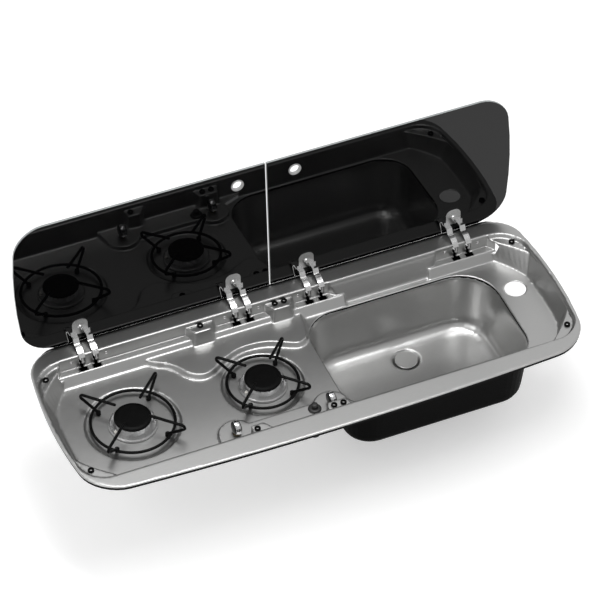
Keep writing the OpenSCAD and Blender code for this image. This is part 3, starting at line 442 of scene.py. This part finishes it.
knob_chrome = finish("knob_chrome", (0.72, 0.72, 0.73), 1, 0.14, scale=200, mottle=0.04,
                     spread=0.04)
dark_plastic = finish("dark_plastic", (0.012, 0.012, 0.012), 0, 0.35, scale=400, mottle=0.1)
knob_radius = 0.012
band_profile = [(-4.3, 0), (-4.3, 11), (-3.9, 11.5), (-2, 11.88), (0, 12), (2, 11.88),
                (3.9, 11.5), (4.3, 11), (4.3, 0)]
cheek_profile = [(7, 0), (6.9, 5), (6.5, 8), (5.8, 9.9), (4.9, 10.8), (4.4, 11), (4.4, 0)]
for side in ("left", "right"):
    low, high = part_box("knob_" + side)
    centre = Vector(((low[0] + high[0]) / 2, (low[1] + high[1]) / 2, high[2] - knob_radius))
    band = bmesh.new()
    turned(band, band_profile, centre)
    knob_piece(band, low[2], side, "knob_band_", knob_chrome, "knob_")
    cheeks = bmesh.new()
    for way in (-1, 1):
        turned(cheeks, [(way * a, r) for a, r in cheek_profile], centre)
    knob_piece(cheeks, low[2], side, "knob_sides_", dark_plastic, "knob_cheeks_")


# Taps: turned brass gas taps at the gas rail, below the shelf. Each has its plug inside and
# its spindle up through the deck into the knob.
plain_brass = finish("plain_brass", (0.62, 0.47, 0.22), 1, 0.35, scale=300, mottle=0.1)
for side in ("left", "right"):
    dress(plain_brass, "spindle_" + side, "tap_plug_" + side, "tap_body_" + side)


# Igniter: a moulded black push button in its threaded body, which goes up through the shelf
# and is held by a nut below it.
dress(black_plastic, "igniter_body", "igniter_nut", "igniter_button")


# Gas rail and feed pipes: bent metal pipes below the shelf, from the inlet at the back to the
# taps and on to each burner.
dress(bright_steel, "gas_rail", "feed_pipe_left", "feed_pipe_right")


# Studio: a plain white floor below the waste, a pale room and two large soft lamps, the key
# right above the unit.
def studio_white(name, colour, glow):
    """Matt white that also glows where a camera, mirror or glass sees it, and lights nothing."""
    m = bpy.data.materials.new(name)
    m.use_nodes = True
    n, link = m.node_tree.nodes, m.node_tree.links.new
    shader = n["Principled BSDF"]
    preset(shader, {"Base Color": (*colour, 1), "Roughness": 0.9, "Specular IOR Level": 0,
                    "Emission Color": (1, 1, 1, 1)})
    path = n.new("ShaderNodeLightPath")
    first = n.new("ShaderNodeMath")
    first.operation = "MAXIMUM"
    link(path.outputs["Is Camera Ray"], first.inputs[0])
    link(path.outputs["Is Glossy Ray"], first.inputs[1])
    seen = n.new("ShaderNodeMath")
    seen.operation = "MAXIMUM"
    link(first.outputs[0], seen.inputs[0])
    link(path.outputs["Is Transmission Ray"], seen.inputs[1])
    much = n.new("ShaderNodeMath")
    much.operation = "MULTIPLY"
    much.inputs[1].default_value = glow
    link(seen.outputs[0], much.inputs[0])
    link(much.outputs[0], shader.inputs["Emission Strength"])
    return m


def lamp(name, place, size, power):
    """A soft rectangular lamp aimed at the unit's middle."""
    light = bpy.data.lights.new(name, "AREA")
    light.shape = "RECTANGLE"
    light.size, light.size_y = size
    light.energy = power
    o = bpy.data.objects.new(name, light)
    o.location = place
    o.rotation_euler = (-Vector(place)).to_track_quat("-Z", "Y").to_euler()
    scene.collection.objects.link(o)


floor_gap, floor_grey, floor_glow = 0.002, (0.8, 0.8, 0.8), 0.42
ground = bmesh.new()
bmesh.ops.create_grid(ground, x_segments=1, y_segments=1, size=6)
bmesh.ops.translate(ground, verts=ground.verts, vec=(0, 0, cad_box[0][2] - floor_gap))
floor_mesh = bpy.data.meshes.new("floor")
ground.to_mesh(floor_mesh)
ground.free()
floor_mesh.materials.append(studio_white("floor_white", floor_grey, floor_glow))
floor = bpy.data.objects.new("floor", floor_mesh)
scene.collection.objects.link(floor)

bright_side = (0.25, 0.82, 0.51)
world = bpy.data.worlds.new("room")
scene.world = world
world.use_nodes = True
room, join = world.node_tree.nodes, world.node_tree.links.new
sky = room["Background"]
preset(sky, {"Strength": 1})
direction = room.new("ShaderNodeTexCoord")
facing = room.new("ShaderNodeVectorMath")
facing.operation = "DOT_PRODUCT"
facing.inputs[1].default_value = bright_side
join(direction.outputs["Generated"], facing.inputs[0])
fade = room.new("ShaderNodeValToRGB")
for stop, place, grey in zip(fade.color_ramp.elements, (0.0, 0.85), (0.52, 0.7)):
    stop.position = place
    stop.color = (grey, grey, grey, 1)
join(facing.outputs["Value"], fade.inputs["Fac"])
join(fade.outputs["Color"], sky.inputs["Color"])

lamp("key", (0.1, 0.05, 2.2), (1.9, 0.6), 25)
lamp("side", (-1.8, -0.8, 1.9), (0.8, 0.8), 7)
